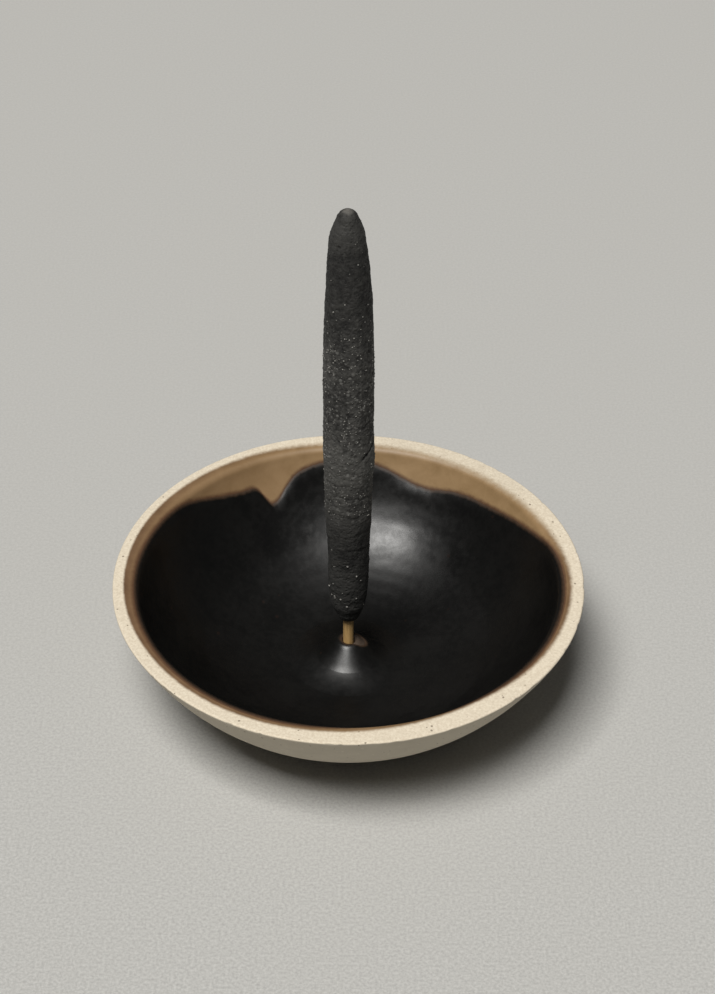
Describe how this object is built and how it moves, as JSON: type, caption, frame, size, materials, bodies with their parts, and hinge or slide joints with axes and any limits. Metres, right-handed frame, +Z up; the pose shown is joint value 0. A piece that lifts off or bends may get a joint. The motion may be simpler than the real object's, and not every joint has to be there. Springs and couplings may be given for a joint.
{
  "type": "incense burner",
  "caption": "Shallow round stoneware incense burner, black-glazed inside, with a socketed nub at its centre that holds a thick hand-rolled incense stick on a bamboo core.",
  "frame": {"origin": "middle of the foot, on the plane that the bowl stands on", "axes": "+Z up along the stick; +Y towards the back of the bowl, where the black glaze stops low and ragged; +X to the right of someone looking along +Y"},
  "size_m": [0.108, 0.108, 0.13],
  "materials": {
    "stoneware": "matte",
    "black_glaze": "satin",
    "bamboo": "satin",
    "incense": "matte"
  },
  "bodies": {
    "bowl_body": {"bowl": "stoneware", "black_glaze": "black_glaze"},
    "stick": {"bamboo_core": "bamboo", "incense_paste": "incense"}
  },
  "joints": [
    {"name": "stick_lift", "type": "slide", "parent": "bowl_body", "child": "stick", "axis": [0, 0, 1], "range_m": [0, 0.035]}
  ]
}
